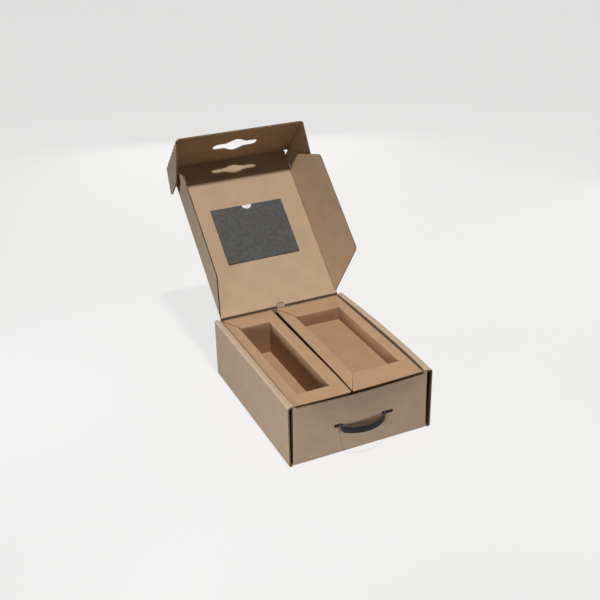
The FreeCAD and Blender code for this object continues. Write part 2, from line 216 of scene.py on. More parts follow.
def flutes(mesh, sheet, outline, holes, along_v):
    """The wavy paper inside a flat board, its waves running along u, or along v."""
    loops = [outline] + holes
    if along_v:
        loops = [[(v, u) for u, v in loop] for loop in loops]
    levels = [v for _, v in loops[0]]
    low, high = min(levels) + EDGE_SPARE, max(levels) - EDGE_SPARE
    count = int((high - low) / PITCH * FLUTE_STEPS)
    strips = []
    for i in range(count + 1):
        level = low + (high - low) * i / count
        found = spans(loops, level)
        if not strips or len(strips[-1][-1][1]) != len(found):
            strips.append([])
        strips[-1].append((level, found))
    for strip in strips:
        for k in range(len(strip[0][1])):
            ribbon(mesh, sheet, [(level, found[k]) for level, found in strip], along_v)


def ribbon(mesh, sheet, rows, along_v):
    """One stretch of the wavy paper, through its rows across the sheet."""
    if len(rows) < 2:
        return
    half = MEDIUM / 2
    rings = []
    for level, (start, end) in rows:
        wave = AMPLITUDE * math.sin(math.tau * level / PITCH)
        ring = []
        for across, rise in ((start, -half), (end, -half), (end, half), (start, half)):
            place = (level, across) if along_v else (across, level)
            ring.append((mesh.verts.new((place[0], place[1], wave + rise)), place))
        rings.append(ring)
    stitch(mesh, sheet, rings, CUT)


def stitch(mesh, sheet, rings, slot, around=None, way=1):
    """Closed rings of (vertex, place) pairs joined into a solid with both ends filled. Around gives the slots
    of a ring's stretches where they differ, and way is -1 for rings that run the other way about."""
    size = len(rings[0])
    around = around or [slot] * size
    for near, far in zip(rings, rings[1:]):
        for i in range(size):
            j = (i + 1) % size
            add_face(mesh, sheet, (near[i], near[j], far[j], far[i])[::way], around[i])
    for ring, step in ((rings[0], -way), (rings[-1], way)):
        add_face(mesh, sheet, ring[::step], slot)


def flat_board(mesh, sheet, outline, holes=(), along_v=False, outer=-1):
    """Corrugated board in the plane w = 0: two liners and the wavy paper between them."""
    half = HALF_BOARD
    holes = list(holes)
    faces = {-1: (OUTER, INNER), 1: (INNER, OUTER)}[outer]
    slab(mesh, sheet, outline, holes, -half, -half + LINER, (faces[0], CUT, CUT))
    slab(mesh, sheet, outline, holes, half - LINER, half, (CUT, faces[1], CUT))
    flutes(mesh, sheet, outline, holes, along_v)


def path_normals(path):
    """Offsets to the left of a path, mitred at its points."""
    steps = [(Vector(b) - Vector(a)).normalized() for a, b in zip(path, path[1:])]
    normals = []
    for i in range(len(path)):
        before, after = steps[max(i - 1, 0)], steps[min(i, len(steps) - 1)]
        mean = (before + after).normalized()
        normals.append(Vector((-mean.y, mean.x)) / max(mean.dot(after), 0.5))
    return normals


def path_lengths(path):
    lengths = [0.0]
    for a, b in zip(path, path[1:]):
        lengths.append(lengths[-1] + (Vector(b) - Vector(a)).length)
    return lengths


def band(mesh, sheet, path, ends, low, high, parts, slots):
    """A sheet that follows a path and runs across it between each point's two ends, as a closed solid.
    Its slots are those of the low face, the high face and the cut edges."""
    normals, lengths = path_normals(path), path_lengths(path)
    grids = []
    for level in (low, high):
        grid = []
        for point, normal, (start, end), length in zip(path, normals, ends, lengths):
            spot = Vector(point) + normal * level
            row = []
            for k in range(parts + 1):
                across = start + (end - start) * k / parts
                row.append((mesh.verts.new((spot.x, spot.y, across)), (length, across)))
            grid.append(row)
        grids.append(grid)
    bottom, top = grids
    last = len(path) - 1

    def quad(a, b, c, d, slot):
        add_face(mesh, sheet, (a, b, c, d), slot)

    for i in range(last):
        for k in range(parts):
            quad(bottom[i][k], bottom[i][k + 1], bottom[i + 1][k + 1], bottom[i + 1][k], slots[0])
            quad(top[i][k], top[i + 1][k], top[i + 1][k + 1], top[i][k + 1], slots[1])
        quad(bottom[i][0], bottom[i + 1][0], top[i + 1][0], top[i][0], slots[2])
        quad(bottom[i][parts], top[i][parts], top[i + 1][parts], bottom[i + 1][parts], slots[2])
    for k in range(parts):
        quad(bottom[0][k], top[0][k], top[0][k + 1], bottom[0][k + 1], slots[2])
        quad(bottom[last][k], bottom[last][k + 1], top[last][k + 1], top[last][k], slots[2])


def folded_board(mesh, sheet, path, ends, parts):
    """Corrugated board folded along a path, which its waves follow, with its outer liner to the left."""
    half = HALF_BOARD
    band(mesh, sheet, path, ends, half - LINER, half, parts, (CUT, OUTER, CUT))
    band(mesh, sheet, path, ends, -half, -half + LINER, parts, (INNER, CUT, CUT))
    normals, lengths = path_normals(path), path_lengths(path)
    widest = max(end - start for start, end in ends)
    count = int(widest / PITCH * FLUTE_STEPS)
    rings = []
    for j in range(count + 1):
        share = (j + EDGE_SPARE) / (count + EDGE_SPARE * 2)
        wave = AMPLITUDE * math.sin(math.tau * share * widest / PITCH)
        low, high = [], []
        for point, normal, (start, end), length in zip(path, normals, ends, lengths):
            across = start + (end - start) * share
            for rise, row in ((-MEDIUM / 2, low), (MEDIUM / 2, high)):
                spot = Vector(point) + normal * (wave + rise)
                row.append((mesh.verts.new((spot.x, spot.y, across)), (length, across)))
        rings.append(low + high[::-1])
    stitch(mesh, sheet, rings, CUT)


def solid_board(mesh, sheet, path, ends, parts, outer_left=True):
    """Board folded along a path as one solid, for sheets whose edges are all out of sight."""
    left, right = (OUTER, INNER) if outer_left else (INNER, OUTER)
    band(mesh, sheet, path, ends, -HALF_BOARD, HALF_BOARD, parts, (right, left, CUT))


CREASE_REACH = 5                    # a crease's strip ends this far from the fold's axis, on each panel
CREASE_ARC = 6
CREASE_PART = 20                    # the strip is cut across about this often
ROUND_START, ROUND_SIDE, ROUND_MIDDLE = 2.4, 0.86, 0.78      # where its rounded side is crushed, and to what
SCORE_START, SCORE_SIDE, SCORE_DEPTH = 1.4, 0.85, 0.35       # the groove scored in its hollow side
TEAR_START, TEAR_DEPTH = 0.85, 0.1                           # the opening that a perforation leaves


def crease_profile(a, b, cut):
    """The section of a crushed crease about its axis, between panels that leave along a and b. Where a
    perforation cuts it, its rounded side is open down to the paper of its hollow side."""
    out_a = -(b - a * a.dot(b)).normalized()
    out_b = -(a - b * a.dot(b)).normalized()
    valley = (a + b).normalized()
    half = HALF_BOARD
    near = CREASE_REACH * TEAR_START if cut else ROUND_START
    outside = [a * CREASE_REACH + out_a * half, a * near + out_a * (half * ROUND_SIDE)]
    if cut:
        outside.append(valley * TEAR_DEPTH)
    else:
        for step in range(1, CREASE_ARC):
            outside.append(out_a.lerp(out_b, step / CREASE_ARC).normalized() * (half * ROUND_MIDDLE))
    outside += [b * near + out_b * (half * ROUND_SIDE), b * CREASE_REACH + out_b * half]
    inside = [b * CREASE_REACH - out_b * half, b * SCORE_START - out_b * (half * SCORE_SIDE),
              valley * SCORE_DEPTH,
              a * SCORE_START - out_a * (half * SCORE_SIDE), a * CREASE_REACH - out_a * half]
    return outside, inside


def crease(name, origin, axis, runs, a, b, liners=(OUTER, INNER)):
    """The folded strip between two panels. Runs are its stretches along the axis and whether a perforation
    cuts each. Liners are the papers of its rounded and its hollow side, and the inner liner carries the
    scored groove."""
    mesh, sheet = new_mesh()
    # painted shade: where a liner is the inner one its groove is painted near-black, and so are a
    # perforation's openings
    round_groove, hollow_groove = (PAINTED_SHADE if liner == INNER else liner for liner in liners)
    if any(cut for _, _, cut in runs):
        round_groove = WORN_AND_HIGHLIT             # worn paper with a painted highlight, on the whole paper between the cuts of a perforation
    for start, end, cut in runs:
        outside, inside = crease_profile(a, b, cut)
        profile = outside + inside
        turn = sum(p.cross(q).dot(axis) for p, q in zip(profile, profile[1:] + profile[:1]))
        slots = [liners[0]] + [PAINTED_SHADE if cut else round_groove] * (len(outside) - 3) + [liners[0], CUT]
        slots += [liners[1]] + [hollow_groove] * (len(inside) - 3) + [liners[1], CUT]
        across = [0.0]
        for p, q in zip(profile, profile[1:]):
            across.append(across[-1] + (q - p).length)
        parts = max(1, round((end - start) / CREASE_PART))
        rings = []
        for k in range(parts + 1):
            along = start + (end - start) * k / parts
            rings.append([(mesh.verts.new(p + axis * along), (s, along)) for p, s in zip(profile, across)])
        stitch(mesh, sheet, rings, CUT, slots, 1 if turn > 0 else -1)
    piece = finished(mesh, name, KRAFT, Matrix.Translation(origin))
    start, end = ((origin + direction * CREASE_REACH) * MM for direction in (a, b))
    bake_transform(piece)


def cut_across(mesh, axis, places):
    """Extra edges across the mesh at these places of one axis, so that it can be bent."""
    normal = [0, 0, 0]
    normal[axis] = 1
    for place in places:
        point = [0, 0, 0]
        point[axis] = place
        everything = mesh.verts[:] + mesh.edges[:] + mesh.faces[:]
        bmesh.ops.bisect_plane(mesh, geom=everything, plane_co=point, plane_no=normal, dist=0.01)


def joined(mesh, other, place=Matrix()):
    """The other mesh, moved to its place, becomes part of this one."""
    bmesh.ops.transform(other, matrix=place, verts=other.verts)
    data = bpy.data.meshes.new("joining")
    other.to_mesh(data)
    other.free()
    mesh.from_mesh(data)
    bpy.data.meshes.remove(data)


def finished(mesh, name, materials, place=Matrix()):
    """The mesh as an object of the scene, moved to its place and set in the frame's metres."""
    data = bpy.data.meshes.new(name)
    bmesh.ops.transform(mesh, matrix=Matrix.Scale(MM, 4) @ place, verts=mesh.verts)
    mesh.normal_update()
    mesh.to_mesh(data)
    mesh.free()
    for material in materials:
        data.materials.append(material)
    piece = bpy.data.objects.new(name, data)
    bpy.context.scene.collection.objects.link(piece)
    return piece


WARP_PARTS, WARP_SPREAD = 12, 1.5   # a warped panel is cut this often, closer together at its low edges


def panel(name, node, place, outline, holes=(), along_v=False, outer=-1, warp=None):
    """A panel of the lid's sheet, in place of its CAD node. A warp gives how far each (u, v) stands off."""
    mesh, sheet = new_mesh()
    flat_board(mesh, sheet, outline, holes, along_v, outer)
    if warp:
        for axis in (0, 1):
            low, high = (pick(point[axis] for point in outline) for pick in (min, max))
            shares = [(i / WARP_PARTS) ** WARP_SPREAD for i in range(1, WARP_PARTS)]
            cut_across(mesh, axis, [low + (high - low) * share for share in shares])
        for vert in mesh.verts:
            vert.co.z += warp(vert.co.x, vert.co.y)
    piece = finished(mesh, name, KRAFT, place)
    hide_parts(node)
    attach(piece, frame_body(node))


def frame_body(node):
    bodies = frame["record"]["behaviour"]["bodies"]
    return next(body for body, nodes in bodies.items() if node in nodes)


def node_box(node):
    low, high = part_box(node)
    return low / MM, high / MM


# ---- materials ----

WHITE = (1, 1, 1, 1)


def mixed(nodes, links, kind, factor, first, second):
    node = nodes.new("ShaderNodeMix")
    node.data_type = "RGBA"
    node.blend_type = kind
    for socket, value in ((0, factor), (6, first), (7, second)):
        if isinstance(value, bpy.types.NodeSocket):
            links.new(value, node.inputs[socket])
        else:
            node.inputs[socket].default_value = value
    return node.outputs[2]


def noise(nodes, links, place, scale, detail=3, roughness=0.5):
    node = nodes.new("ShaderNodeTexNoise")
    node.inputs["Scale"].default_value = scale
    node.inputs["Detail"].default_value = detail
    node.inputs["Roughness"].default_value = roughness
    links.new(place, node.inputs["Vector"])
    return node.outputs["Fac"]


def ramp(nodes, links, value, low, high, start=0.0, end=1.0):
    node = nodes.new("ShaderNodeMapRange")
    links.new(value, node.inputs["Value"])
    for name, number in (("From Min", low), ("From Max", high), ("To Min", start), ("To Max", end)):
        node.inputs[name].default_value = number
    return node.outputs["Result"]


def stretched(nodes, links, source, scale):
    node = nodes.new("ShaderNodeMapping")
    node.inputs["Scale"].default_value = scale
    links.new(source, node.inputs["Vector"])
    return node.outputs["Vector"]


def shade(colour, factor):
    return tuple(min(1.0, c * factor) for c in colour[:3]) + (1.0,)


def new_material(name, roughness, specular):
    material = bpy.data.materials.new(name)
    material.use_nodes = True
    shader = material.node_tree.nodes["Principled BSDF"]
    shader.inputs["Roughness"].default_value = roughness
    shader.inputs["Specular IOR Level"].default_value = specular
    return material, material.node_tree.nodes, material.node_tree.links, shader


def bumped(nodes, links, shader, height, strength, distance):
    bump = nodes.new("ShaderNodeBump")
    bump.inputs["Strength"].default_value = strength
    bump.inputs["Distance"].default_value = distance
    links.new(height, bump.inputs["Height"])
    links.new(bump.outputs["Normal"], shader.inputs["Normal"])


def kraft(name, colour, fibre=0.13, mottle=0.10, washboard=0.03):
    """Brown paper: fibres along the sheet, cloudy patches, dark flecks and faint lines of the flutes."""
    material, nodes, links, shader = new_material(name, 0.82, 0.22)
    place = nodes.new("ShaderNodeTexCoord").outputs["UV"]
    fibres = noise(nodes, links, stretched(nodes, links, place, (420, 1500, 1)), 1.0, 4, 0.6)
    clouds = noise(nodes, links, place, 22, 3, 0.55)
    grain = noise(nodes, links, place, 260, 2)
    flecks = noise(nodes, links, stretched(nodes, links, place, (700, 1300, 1)), 1.0, 1)
    wave = nodes.new("ShaderNodeTexWave")
    wave.bands_direction = "Y"
    wave.inputs["Scale"].default_value = math.tau / (PITCH * MM * 20)     # one line to each flute
    wave.inputs["Distortion"].default_value = 0.4
    links.new(place, wave.inputs["Vector"])
    tone = mixed(nodes, links, "MIX", ramp(nodes, links, fibres, 0.3, 0.7),
                 shade(colour, 1 - fibre), shade(colour, 1 + fibre))
    cloudy = mixed(nodes, links, "MIX", ramp(nodes, links, clouds, 0.3, 0.7), shade(WHITE, 1 - mottle), WHITE)
    tone = mixed(nodes, links, "MULTIPLY", 1.0, tone, cloudy)
    speck = mixed(nodes, links, "MIX", ramp(nodes, links, flecks, 0.68, 0.78), WHITE, (0.72, 0.66, 0.58, 1))
    tone = mixed(nodes, links, "MULTIPLY", 1.0, tone, speck)
    lines = mixed(nodes, links, "MIX", wave.outputs["Fac"], shade(WHITE, 1 - washboard), WHITE)
    tone = mixed(nodes, links, "MULTIPLY", 1.0, tone, lines)
    links.new(tone, shader.inputs["Base Color"])
    links.new(ramp(nodes, links, grain, 0.3, 0.7, 0.76, 0.9), shader.inputs["Roughness"])
    height = mixed(nodes, links, "MIX", 0.35, wave.outputs["Color"], fibres)
    bumped(nodes, links, shader, height, 0.25, 0.00025)
    return material


def coated(name, colour, light, roughness, specular, scale):
    """Dyed paper or moulded plastic: one tone with faint clouds, fine grain and an uneven sheen."""
    material, nodes, links, shader = new_material(name, roughness, specular)
    place = nodes.new("ShaderNodeTexCoord").outputs["Object"]
    clouds = noise(nodes, links, place, scale, 4, 0.6)
    grain = noise(nodes, links, place, scale * 40, 2)
    links.new(mixed(nodes, links, "MIX", ramp(nodes, links, clouds, 0.3, 0.7), colour, light),
              shader.inputs["Base Color"])
    links.new(ramp(nodes, links, grain, 0.3, 0.7, roughness - 0.08, roughness + 0.08),
              shader.inputs["Roughness"])
    bumped(nodes, links, shader, grain, 0.2, 0.0002)
    return material


KRAFT = [kraft("kraft_outer", (0.50, 0.365, 0.255, 1)),
         kraft("kraft_inner", (0.50, 0.35, 0.222, 1)),
         kraft("kraft_cut", (0.36, 0.25, 0.155, 1), fibre=0.16, washboard=0.0),
         # near-black painted shade for grooves, gaps, slots and slits
         kraft("kraft_painted_shade", (0.10, 0.060, 0.035, 1), fibre=0.2, washboard=0.0),
         # paper worn by a fold, lightened further as a painted highlight on lit ridges
         kraft("kraft_worn_and_highlit", (0.62, 0.49, 0.36, 1), fibre=0.2, washboard=0.0)]
INSERT = [kraft("insert_face", (0.46, 0.285, 0.165, 1)),
          kraft("insert_back", (0.42, 0.27, 0.16, 1)),
          kraft("insert_cut", (0.30, 0.19, 0.11, 1), fibre=0.16, washboard=0.0)]
PLASTIC = coated("handle_plastic", (0.022, 0.024, 0.026, 1), (0.032, 0.034, 0.037, 1), 0.42, 0.45, 60)
POCKET = coated("pocket_paper", (0.050, 0.050, 0.047, 1), (0.086, 0.084, 0.080, 1), 0.6, 0.3, 110)
CARD = coated("card_paper", (0.74, 0.74, 0.70, 1), (0.80, 0.80, 0.76, 1), 0.55, 0.35, 40)


# ---- tray ----

FRONT_BOW, SIDE_BOW, INNER_BOW = 8.5, 5.5, 5.0
FRONT_BEND = 4                      # the front wall bows most near its top
CORNER_DRAW = 3.5                   # the front wall's ends are drawn in from the side walls
FRONT_TOP = HEIGHT - 5.5            # the front wall's edge stands a little below the rolled tops
SLOT_LEFT, SLOT_RIGHT, SLOT_HALF = -66, 74, 4.0
SLOT_INNER_END = 45.5
MOON_LEAN = LEAN - math.radians(8)  # the half-moon tab leans back almost as far as the lid
MOON_TAPER = 0.86                   # its inner liner is torn back from the die's cut
MOON_WRAP = math.radians(29)        # its arc runs on this far below the hinge
WALL_MIDDLE = HALF_DEPTH - HALF_BOARD
WALL_FOOT = CREASE_REACH + HALF_BOARD
WALL_END = WALL_HALF - CREASE_REACH
PANEL_FOOT = BOARD + 0.3            # where the panels that stand on the floor begin
INNER_ROLL, OUTER_ROLL, FOLD_RADIUS = 2.2, 4, 2
# where the walls are cut across, so that they can bow
SIDE_LEVELS, FRONT_LEVELS, FRONT_PARTS = (45, 85, 115), (40, 80, 110), 8


def bow_tray(point):
    """The open tray's long top edges stand a little outward of straight."""
    rise = max(point.z, 0) / HEIGHT
    if point.y < -HALF_DEPTH + BOARD * 2 and abs(point.x) < WALL_HALF + 1:
        point.x *= 1 - CORNER_DRAW / WALL_HALF * rise ** 0.3
        point.y -= FRONT_BOW * max(0.0, 1 - (point.x / WALL_HALF) ** 2) * rise ** FRONT_BEND
    if point.x > INNER_FACE - 1:
        bow = INNER_BOW + (SIDE_BOW - INNER_BOW) * (point.x - INNER_FACE) / (HALF_WIDTH - INNER_FACE)
        point.x += bow * max(0.0, 1 - (point.y / HALF_DEPTH) ** 2) * rise ** 2


def tray_section():
    """The path of the sheet from one side's inner panel over both rolled tops, and each point's ends."""
    mid_inner, mid_outer = INNER_FACE + HALF_BOARD, HALF_WIDTH - HALF_BOARD
    top, floor, straight = HEIGHT - HALF_BOARD, HALF_BOARD, 40
    inner_end, outer_end, floor_end = HALF_DEPTH - BOARD - 0.5, HALF_DEPTH, HALF_DEPTH - WALL_FOOT
    path, ends = [], []

    def run(points, half_length):
        for point in points:
            path.append(point)
            ends.append((-half_length, half_length))

    over = [(mid_inner, top - straight), (mid_inner, top), (mid_outer, top), (mid_outer, top - straight)]
    roll = rounded(over, [0, INNER_ROLL, OUTER_ROLL, 0], closed=False)[1:-1]
    under = [(mid_outer, straight), (mid_outer, floor), (mid_outer - straight, floor)]
    foot = rounded(under, [0, FOLD_RADIUS, 0], closed=False)[1:-1]
    run([(mid_inner, z) for z in (PANEL_FOOT, *SIDE_LEVELS)], inner_end)
    run(roll[:ROUND_STEPS + 1], inner_end)
    run(roll[ROUND_STEPS + 1:], outer_end)
    run([(mid_outer, z) for z in reversed(SIDE_LEVELS)], outer_end)
    run(foot, outer_end)
    run([(WALL_HALF + 1, floor)], outer_end)
    run([(WALL_HALF, floor)], floor_end)
    mirrored = [(-x, z) for x, z in reversed(path)]
    return path + mirrored, ends + ends[::-1]


def wall_slots():
    low, high = SLOT_LEVEL - SLOT_HALF, SLOT_LEVEL + SLOT_HALF
    slots = []
    for start, end in ((SLOT_LEFT, -SLOT_INNER_END), (SLOT_INNER_END, SLOT_RIGHT)):
        corners = [(start, low), (end, low), (end, high), (start, high)]
        slots.append(rounded(corners, [SLOT_HALF * 0.98] * 4))
    return slots


def front_wall():
    """The front wall, with the two slots that hold the handle."""
    wall, sheet = new_mesh()
    outline = [(-WALL_END, WALL_FOOT), (WALL_END, WALL_FOOT), (WALL_END, FRONT_TOP), (-WALL_END, FRONT_TOP)]
    flat_board(wall, sheet, outline, wall_slots(), outer=1)
    for face in wall.faces:
        middle = face.calc_center_median()
        in_slot = abs(middle.y - SLOT_LEVEL) < SLOT_HALF + 0.1 and abs(middle.x) < SLOT_RIGHT + 0.1
        if in_slot and face.material_index == CUT:
            face.material_index = PAINTED_SHADE      # painted shade on the slot's cut faces, where hardly any light falls
    cut_across(wall, 0, [WALL_END * i / FRONT_PARTS for i in range(1 - FRONT_PARTS, FRONT_PARTS)])
    cut_across(wall, 1, FRONT_LEVELS)
    return wall


def moon_arc(radius, level, first, last):
    """An arc about the middle of the half-moon, which is at this level, from its first angle to its last."""
    points = []
    for step in range(MOON_STEPS + 1):
        angle = first + (last - first) * step / MOON_STEPS
        points.append((MOON_OFFSET + radius * math.cos(angle), level + radius * math.sin(angle)))
    return points


def back_wall():
    """The back wall, with the half-moon tab that stands up through the lid's crease."""
    wall, sheet = new_mesh()
    shelf = HINGE.z - CREASE_REACH
    foot = Vector((0, shelf + 1, 0))
    moon = moon_arc(MOON_RADIUS, HINGE.z, -MOON_WRAP, math.pi + MOON_WRAP)
    outline = [(-WALL_END, WALL_FOOT), (WALL_END, WALL_FOOT), (WALL_END, shelf)] + moon + [(-WALL_END, shelf)]
    flat_board(wall, sheet, outline, outer=-1)
    cut_across(wall, 1, (foot.y,))
    for face in wall.faces:
        middle = face.calc_center_median()
        # painted shade on the cut paper of the half-moon tab and above the shelf, so the gap around it reads
        # dark
        if middle.y > foot.y and face.material_index == CUT:
            face.material_index = PAINTED_SHADE
        elif middle.y > HINGE.z and face.material_index == INNER:
            face.material_index = CUT       # the torn liner bares the paper under it
    for vert in wall.verts:
        if vert.co.y > HINGE.z - 4 and vert.co.z > -HALF_BOARD + LINER * 2:
            vert.co.x = MOON_OFFSET + (vert.co.x - MOON_OFFSET) * MOON_TAPER
            vert.co.y = HINGE.z + (vert.co.y - HINGE.z) * MOON_TAPER
    lean = Matrix.Rotation(-MOON_LEAN, 3, "X")
    for vert in wall.verts:
        if vert.co.y > foot.y + 0.01:
            vert.co = foot + lean @ (vert.co - foot)
    return wall


def bend(mesh, corner, start, end, parts, place, outer_left=True):
    """The short folded strip that joins two boards about a corner."""
    path = rounded(corner, [0, FOLD_RADIUS, 0], closed=False)
    strip, sheet = new_mesh()
    solid_board(strip, sheet, path, [(start, end)] * len(path), parts, outer_left)
    joined(mesh, strip, place)


def corner_tab(mesh, side, sign):
    """The tab at one end of a wall, held in the side wall's fold, and the bend that leads to it."""
    tab, sheet = new_mesh()
    start, end = HALF_DEPTH - WALL_FOOT, HALF_DEPTH - TAB_LENGTH
    low, high = PANEL_FOOT, HEIGHT - BOARD - 0.5
    across = WALL_HALF - HALF_BOARD
    flat_board(tab, sheet, [(end, low), (start, low), (start, high), (end, high)], outer=1)
    joined(mesh, tab, axes(Y * side, Z, X * sign, X * sign * across))
    corner = ((WALL_END, WALL_MIDDLE), (across, WALL_MIDDLE), (across, start))
    bend(mesh, corner, BOARD, high + 0.1, 6, axes(X * sign, Y * side, Z))


def tray():
    """Floor, walls, rolled sides and corner tabs of the tray, which no crease moves."""
    mesh, sheet = new_mesh()
    path, ends = tray_section()
    folded_board(mesh, sheet, path, ends, 24)
    bmesh.ops.transform(mesh, matrix=axes(X, Z, -Y), verts=mesh.verts)
    fold = ((WALL_MIDDLE - CREASE_REACH, HALF_BOARD), (WALL_MIDDLE, HALF_BOARD), (WALL_MIDDLE, WALL_FOOT))
    for side, wall in ((-1, front_wall()), (1, back_wall())):
        joined(mesh, wall, axes(X, Z, -Y, Y * side * WALL_MIDDLE))
        bend(mesh, fold, -WALL_END, WALL_END, 16, axes(Y * side, Z, X), outer_left=False)
        for sign in SIDES.values():
            corner_tab(mesh, side, sign)
    for face in mesh.faces:
        middle = face.calc_center_median()
        in_slit = WALL_HALF - 0.2 < abs(middle.x) < WALL_HALF + SLIT + 0.5
        if in_slit and HALF_BOARD < middle.z < HEIGHT - BOARD - 2:
            face.material_index = PAINTED_SHADE      # painted shade deep in a side wall's slit, where hardly any light falls
    for vert in mesh.verts:
        bow_tray(vert.co)
    bmesh.ops.recalc_face_normals(mesh, faces=mesh.faces)
    piece = finished(mesh, "tray_board", KRAFT)
    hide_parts("base_tray")
    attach(piece, "tray")


# ---- lid, wings, flap and ears ----

LUG_WIDE, LUG_LONG = 4, 5.5         # the small lugs at the lid's far corners
WING_SHORT, WING_PAST = 34, 14      # a wing's free edge ends short of its crease, and its knee past it
WING_KNEE = 46                      # how far out the knee is
FLAP_STEP = 2.3                     # where the flap begins, past the ends of its crease


def lid():
    near, far = CREASE_REACH, FLAP_CREASE - CREASE_REACH
    step_in = WING_AXIS - CREASE_REACH
    right = [(LID_HALF, near), (LID_HALF, WING_START), (step_in, WING_START), (step_in, WING_END),
             (LID_HALF, WING_END), (LID_HALF, far - LUG_LONG), (LID_HALF + LUG_WIDE, far)]
    left = [(-x, r) for x, r in reversed(right)]
    radius = MOON_RADIUS + MOON_GAP
    low = math.asin(near / radius)
    moon = moon_arc(radius, 0, math.pi - low, low)
    panel("lid_board", "lid_panel", axes(X, LID_ALONG, LID_INWARD, HINGE), right + left + moon)
    edge = radius - 0.8
    runs = [(-LID_HALF, MOON_OFFSET - edge, False), (MOON_OFFSET + edge, LID_HALF, False)]
    crease("lid_crease", HINGE, X, runs, -Z, LID_ALONG, liners=(INNER, OUTER))


def wings():
    near = CREASE_REACH
    back_slope = (WING_TIP - WING_START) / WING_HEIGHT
    knee = (WING_END + WING_PAST, WING_KNEE)
    corners = [(WING_START + near * back_slope, near), (WING_TIP, WING_HEIGHT),
               (WING_END - WING_SHORT, WING_HEIGHT), knee, (WING_END + near * WING_PAST / WING_KNEE, near)]
    outline = rounded(corners, [0, 12, 14, 5, 0])
    for side, sign in SIDES.items():
        name = "wing_" + side
        away = away_from(LID_INWARD, side, FLARES[name])
        origin = HINGE + X * sign * WING_AXIS
        panel(name + "_board", name, axes(LID_ALONG, away, LID_ALONG.cross(away), origin), outline,
              along_v=True, outer=sign)
        runs = [(WING_START, WING_END, False)]
        crease(name + "_crease", origin, LID_ALONG, runs, X * -sign, away)


SLOT_HALF_LENGTH, SLOT_ARM, SLOT_BULGE, SLOT_SWELL = 57.5, 12.5, 27, 27
SLOT_STEPS = 48


def flap_slot():
    """The slot of the flap: two arms with round ends and a swollen middle."""
    level = HINGE.z - SLOT_LEVEL
    upper = []
    for step in range(SLOT_STEPS + 1):
        across = SLOT_HALF_LENGTH * math.cos(math.pi * step / SLOT_STEPS)
        beyond = max(0.0, abs(across) - (SLOT_HALF_LENGTH - SLOT_ARM)) / SLOT_ARM
        arm = SLOT_ARM * math.sqrt(max(0.0, 1 - beyond ** 2))
        swell = 0.5 + 0.5 * math.cos(math.pi * min(1.0, abs(across) / SLOT_SWELL))
        upper.append((across, arm + (SLOT_BULGE - SLOT_ARM) * swell ** 0.75))
    lower = [(across, -rise) for across, rise in reversed(upper[1:-1])]
    return [(across, level + rise) for across, rise in upper + lower]


def front_flap():
    near, edge = CREASE_REACH, EAR_AXIS - CREASE_REACH
    right = [(LID_HALF, near), (LID_HALF, FLAP_STEP), (edge, FLAP_STEP), (edge, FLAP_HEIGHT)]
    left = [(-x, h) for x, h in reversed(right)]
    panel("flap_board", "front_flap", axes(X, FLAP_ALONG, FLAP_BACK, FLAP_ROOT), right + left, [flap_slot()])
    runs = [(-LID_HALF, LID_HALF, False)]
    crease("flap_crease", FLAP_ROOT, X, runs, -LID_ALONG, FLAP_ALONG)


EAR_TOP = FLAP_HEIGHT - 0.7
EAR_FOOT = -3.5                     # the right ear's lower edge, below the lid's inner face
EAR_NOTCH = 2                       # the slant from that edge up to its crease
EAR_CURL = 70                       # how high up its foot is curled in
EAR_HUG, HUG_BUILD, HUG_EASE = 7.3, 4, 0.35      # how far the foot comes in, over what reach, and its easing
EAR_CLOSING = 0.92                  # the share of its flare that the foot loses
TOOTH_PITCH, TOOTH_SHARE = 16, 0.5


def ear_curl(height, reach):
    """The right ear's foot is held in beside the lid, and its shoulder springs out."""
    foot = (1 - limited((height - EAR_START) / EAR_CURL)) ** 3
    near = limited((reach - CREASE_REACH) / HUG_BUILD)
    hug = EAR_HUG * near * (1 - HUG_EASE * reach / EAR_REACH)
    return -foot * (hug + EAR_CLOSING * reach * math.sin(math.radians(FLARES["ear_right"])))


def perforated():
    """The stretches of an ear's crease, whole and cut in turn."""
    teeth = int((EAR_TOP - EAR_START) / TOOTH_PITCH)
    pitch = (EAR_TOP - EAR_START) / teeth
    runs = []
    for tooth in range(teeth):
        start = EAR_START + pitch * tooth
        middle = start + pitch * TOOTH_SHARE
        runs += [(start, middle, False), (middle, start + pitch, True)]
    return runs


def ears():
    near = CREASE_REACH
    tip = (EAR_TOP - near * (EAR_TOP - EAR_SHOULDER) / EAR_REACH, near)
    shoulder = (EAR_SHOULDER, EAR_REACH)
    radii = {shoulder: 10, (EAR_START, EAR_REACH): 12, (EAR_FOOT, EAR_REACH): 14}
    feet = {"left": [(EAR_START, EAR_REACH)],
            "right": [(EAR_FOOT, EAR_REACH), (EAR_FOOT, near + EAR_NOTCH), (EAR_START - 1, near)]}
    for side, sign in SIDES.items():
        name = "ear_" + side
        away = away_from(FLAP_BACK, side, FLARES[name])
        origin = FLAP_ROOT + X * sign * EAR_AXIS
        corners = [(EAR_START, near), tip, shoulder] + feet[side]
        outline = rounded(corners, [radii.get(corner, 0) for corner in corners])
        panel(name + "_board", name, axes(FLAP_ALONG, away, FLAP_ALONG.cross(away), origin), outline,
              along_v=True, outer=sign, warp=ear_curl if side == "right" else None)
        crease(name + "_crease", origin, FLAP_ALONG, perforated(), X * -sign, away)


# ---- inserts ----

OPEN_GAP, FAINT_GAP, CLOSED_GAP = 3.4, 1.0, 0.05     # how far a corner's mitre stands open
INSERT_BOW, INSERT_DROP = 3.2, 2.4  # the inserts' front edges follow the bowed wall and sag
GAP_CLOSE, GAP_START = 2.8, 100     # the inserts lean together towards the front
WALL_RECESS = 4.5                   # an insert's outer walls lean in under its rims
INSERT_SPARE = 0.3                  # between an insert and the parts beside it
RIM_FOLD, WELL_FOLD = 1.4, 2.4
